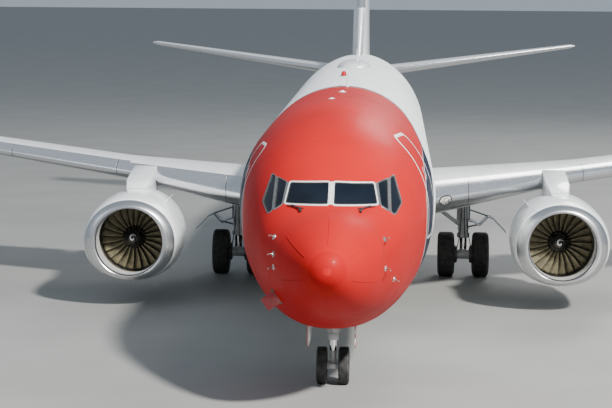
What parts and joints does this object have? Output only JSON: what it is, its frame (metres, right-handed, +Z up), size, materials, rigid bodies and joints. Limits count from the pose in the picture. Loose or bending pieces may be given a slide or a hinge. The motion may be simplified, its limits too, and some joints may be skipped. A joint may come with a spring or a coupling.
{
  "type": "narrow body airliner",
  "caption": "Narrow-body airliner with underwing turbofans and blended winglets, parked on its gear: red nose, white body, turning wheels and fans, moving control surfaces and doors.",
  "frame": {"origin": "on the ground at the middle of the aircraft's box, halfway between nose tip and tail tip", "axes": "+X to the aircraft's left, +Y aft, +Z up"},
  "size_m": [35.8346, 39.47, 12.5],
  "materials": {
    "red_paint": "gloss",
    "white_paint": "gloss",
    "grey_paint": "satin",
    "polished_metal": "polished",
    "exhaust_metal": "satin",
    "fan_blade": "satin",
    "tyre": "matte",
    "wheel_paint": "satin",
    "gear_paint": "gloss",
    "glass": "gloss",
    "dark_trim": "matte"
  },
  "bodies": {
    "airframe": {"radome": "red_paint", "fuselage_nose": "red_paint", "fuselage_mid": "white_paint", "fuselage_aft": "white_paint", "belly_fairing": "grey_paint", "flight_deck_glazing": "glass", "flight_deck": "dark_trim", "passenger_door_forward": "red_paint", "service_door_forward": "red_paint", "passenger_door_aft": "white_paint", "service_door_aft": "white_paint", "fin": "white_paint", "horizontal_stabiliser": "grey_paint", "wing_left": "grey_paint", "wing_right": "grey_paint", "pylon_left": "white_paint", "pylon_right": "white_paint", "nacelle_left": "white_paint", "nacelle_right": "white_paint", "inlet_lip_left": "polished_metal", "inlet_lip_right": "polished_metal", "engine_core_left": "exhaust_metal", "engine_core_right": "exhaust_metal", "main_leg_left": "white_paint", "main_leg_right": "white_paint", "nose_gear_door_left": "white_paint", "nose_gear_door_right": "white_paint", "nose_leg": "gear_paint"},
    "nose_fork": {"nose_fork": "gear_paint"},
    "nose_wheels": {"nose_wheels": "wheel_paint", "nose_tyre_left": "tyre", "nose_tyre_right": "tyre"},
    "main_wheels_left": {"main_wheels_left": "wheel_paint", "main_tyre_left_inner": "tyre", "main_tyre_left_outer": "tyre"},
    "main_wheels_right": {"main_wheels_right": "wheel_paint", "main_tyre_right_inner": "tyre", "main_tyre_right_outer": "tyre"},
    "fan_left": {"fan_left": "fan_blade"},
    "aileron_left": {"aileron_left": "grey_paint"},
    "elevator_left": {"elevator_left": "grey_paint"},
    "flap_inboard_left": {"flap_inboard_left": "grey_paint"},
    "flap_outboard_left": {"flap_outboard_left": "grey_paint"},
    "spoilers_left": {"spoilers_left": "grey_paint"},
    "fan_right": {"fan_right": "fan_blade"},
    "aileron_right": {"aileron_right": "grey_paint"},
    "elevator_right": {"elevator_right": "grey_paint"},
    "flap_inboard_right": {"flap_inboard_right": "grey_paint"},
    "flap_outboard_right": {"flap_outboard_right": "grey_paint"},
    "spoilers_right": {"spoilers_right": "grey_paint"},
    "rudder": {"rudder": "white_paint"},
    "overwing_exit_front_left": {"overwing_exit_front_left": "white_paint"},
    "overwing_exit_front_right": {"overwing_exit_front_right": "white_paint"},
    "overwing_exit_rear_left": {"overwing_exit_rear_left": "white_paint"},
    "overwing_exit_rear_right": {"overwing_exit_rear_right": "white_paint"},
    "cargo_door_forward": {"cargo_door_forward": "white_paint"},
    "cargo_door_aft": {"cargo_door_aft": "white_paint"},
    "external_power_door": {"external_power_door": "red_paint"}
  },
  "joints": [
    {"name": "nose_steering", "type": "hinge", "parent": "airframe", "child": "nose_fork", "pos_m": [0, -15.735, 0.343], "axis": [0, 0, 1], "range_deg": [-78, 78]},
    {"name": "nose_wheels_turn", "type": "hinge", "parent": "nose_fork", "child": "nose_wheels", "pos_m": [0, -15.735, 0.343], "axis": [1, 0, 0], "continuous": true},
    {"name": "main_wheels_left_turn", "type": "hinge", "parent": "airframe", "child": "main_wheels_left", "pos_m": [2.86, -0.135, 0.565], "axis": [1, 0, 0], "continuous": true},
    {"name": "fan_left_turn", "type": "hinge", "parent": "airframe", "child": "fan_left", "pos_m": [4.86, -5.675, 1.52], "axis": [0, 1, 0], "continuous": true},
    {"name": "aileron_left_hinge", "type": "hinge", "parent": "airframe", "child": "aileron_left", "pos_m": [11.33, 1.8858, 3.4684], "axis": [0.9393, 0.3281, 0.1002], "range_deg": [-20, 20]},
    {"name": "elevator_left_hinge", "type": "hinge", "parent": "airframe", "child": "elevator_left", "pos_m": [1.08, 17.1843, 4.7526], "axis": [0.9359, 0.333, 0.1149], "range_deg": [-20, 20]},
    {"name": "flap_inboard_left_hinge", "type": "hinge", "parent": "airframe", "child": "flap_inboard_left", "pos_m": [2.06, 0.2031, 1.941], "axis": [-0.9886, 0.0732, -0.1313], "range_deg": [0, 40]},
    {"name": "flap_outboard_left_hinge", "type": "hinge", "parent": "airframe", "child": "flap_outboard_left", "pos_m": [5.59, -0.0295, 2.4078], "axis": [-0.9444, -0.3114, -0.1056], "range_deg": [0, 40]},
    {"name": "spoilers_left_hinge", "type": "hinge", "parent": "airframe", "child": "spoilers_left", "pos_m": [5.9, -0.6065, 3.0857], "axis": [0.9455, 0.3118, 0.0944], "range_deg": [0, 38]},
    {"name": "main_wheels_right_turn", "type": "hinge", "parent": "airframe", "child": "main_wheels_right", "pos_m": [-2.86, -0.135, 0.565], "axis": [1, 0, 0], "continuous": true},
    {"name": "fan_right_turn", "type": "hinge", "parent": "airframe", "child": "fan_right", "pos_m": [-4.86, -5.675, 1.52], "axis": [0, 1, 0], "continuous": true},
    {"name": "aileron_right_hinge", "type": "hinge", "parent": "airframe", "child": "aileron_right", "pos_m": [-11.33, 1.8858, 3.4684], "axis": [0.9393, -0.3281, -0.1002], "range_deg": [-20, 20]},
    {"name": "elevator_right_hinge", "type": "hinge", "parent": "airframe", "child": "elevator_right", "pos_m": [-1.08, 17.1843, 4.7526], "axis": [0.9359, -0.333, -0.1149], "range_deg": [-20, 20]},
    {"name": "flap_inboard_right_hinge", "type": "hinge", "parent": "airframe", "child": "flap_inboard_right", "pos_m": [-2.06, 0.2031, 1.941], "axis": [-0.9886, -0.0732, 0.1313], "range_deg": [0, 40]},
    {"name": "flap_outboard_right_hinge", "type": "hinge", "parent": "airframe", "child": "flap_outboard_right", "pos_m": [-5.59, -0.0295, 2.4078], "axis": [-0.9444, 0.3114, 0.1056], "range_deg": [0, 40]},
    {"name": "spoilers_right_hinge", "type": "hinge", "parent": "airframe", "child": "spoilers_right", "pos_m": [-5.9, -0.6065, 3.0857], "axis": [0.9455, -0.3118, -0.0944], "range_deg": [0, 38]},
    {"name": "rudder_hinge", "type": "hinge", "parent": "airframe", "child": "rudder", "pos_m": [0, 16.1934, 5.7], "axis": [0, 0.3457, 0.9383], "range_deg": [-26, 26]},
    {"name": "overwing_exit_front_left_hinge", "type": "hinge", "parent": "airframe", "child": "overwing_exit_front_left", "pos_m": [1.6255, -2.83, 4.2467], "axis": [0, -0.9999, -0.0128], "range_deg": [0, 100]},
    {"name": "overwing_exit_front_right_hinge", "type": "hinge", "parent": "airframe", "child": "overwing_exit_front_right", "pos_m": [-1.6255, -2.83, 4.2467], "axis": [0, 0.9999, 0.0128], "range_deg": [0, 100]},
    {"name": "overwing_exit_rear_left_hinge", "type": "hinge", "parent": "airframe", "child": "overwing_exit_rear_left", "pos_m": [1.6255, -1.84, 4.2594], "axis": [0, -0.9999, -0.0128], "range_deg": [0, 100]},
    {"name": "overwing_exit_rear_right_hinge", "type": "hinge", "parent": "airframe", "child": "overwing_exit_rear_right", "pos_m": [-1.6255, -1.84, 4.2594], "axis": [0, 0.9999, 0.0128], "range_deg": [0, 100]},
    {"name": "cargo_door_forward_hinge", "type": "hinge", "parent": "airframe", "child": "cargo_door_forward", "pos_m": [-1.6125, -11.525, 2.2754], "axis": [0, -0.9999, -0.0128], "range_deg": [0, 55]},
    {"name": "cargo_door_aft_hinge", "type": "hinge", "parent": "airframe", "child": "cargo_door_aft", "pos_m": [-1.604, 5.975, 2.4994], "axis": [-0.0128, -0.9998, -0.0128], "range_deg": [0, 55]},
    {"name": "external_power_door_hinge", "type": "hinge", "parent": "airframe", "child": "external_power_door", "pos_m": [-0.9559, -18.035, 2.0129], "axis": [0.5586, 0, -0.8294], "range_deg": [0, 72]}
  ],
  "couplings": [
    {"joint": "aileron_right_hinge", "follows": "aileron_left_hinge", "ratio": -1},
    {"joint": "elevator_right_hinge", "follows": "elevator_left_hinge", "ratio": 1},
    {"joint": "flap_outboard_left_hinge", "follows": "flap_inboard_left_hinge", "ratio": 1},
    {"joint": "flap_inboard_right_hinge", "follows": "flap_inboard_left_hinge", "ratio": 1},
    {"joint": "flap_outboard_right_hinge", "follows": "flap_inboard_left_hinge", "ratio": 1},
    {"joint": "spoilers_right_hinge", "follows": "spoilers_left_hinge", "ratio": 1}
  ]
}
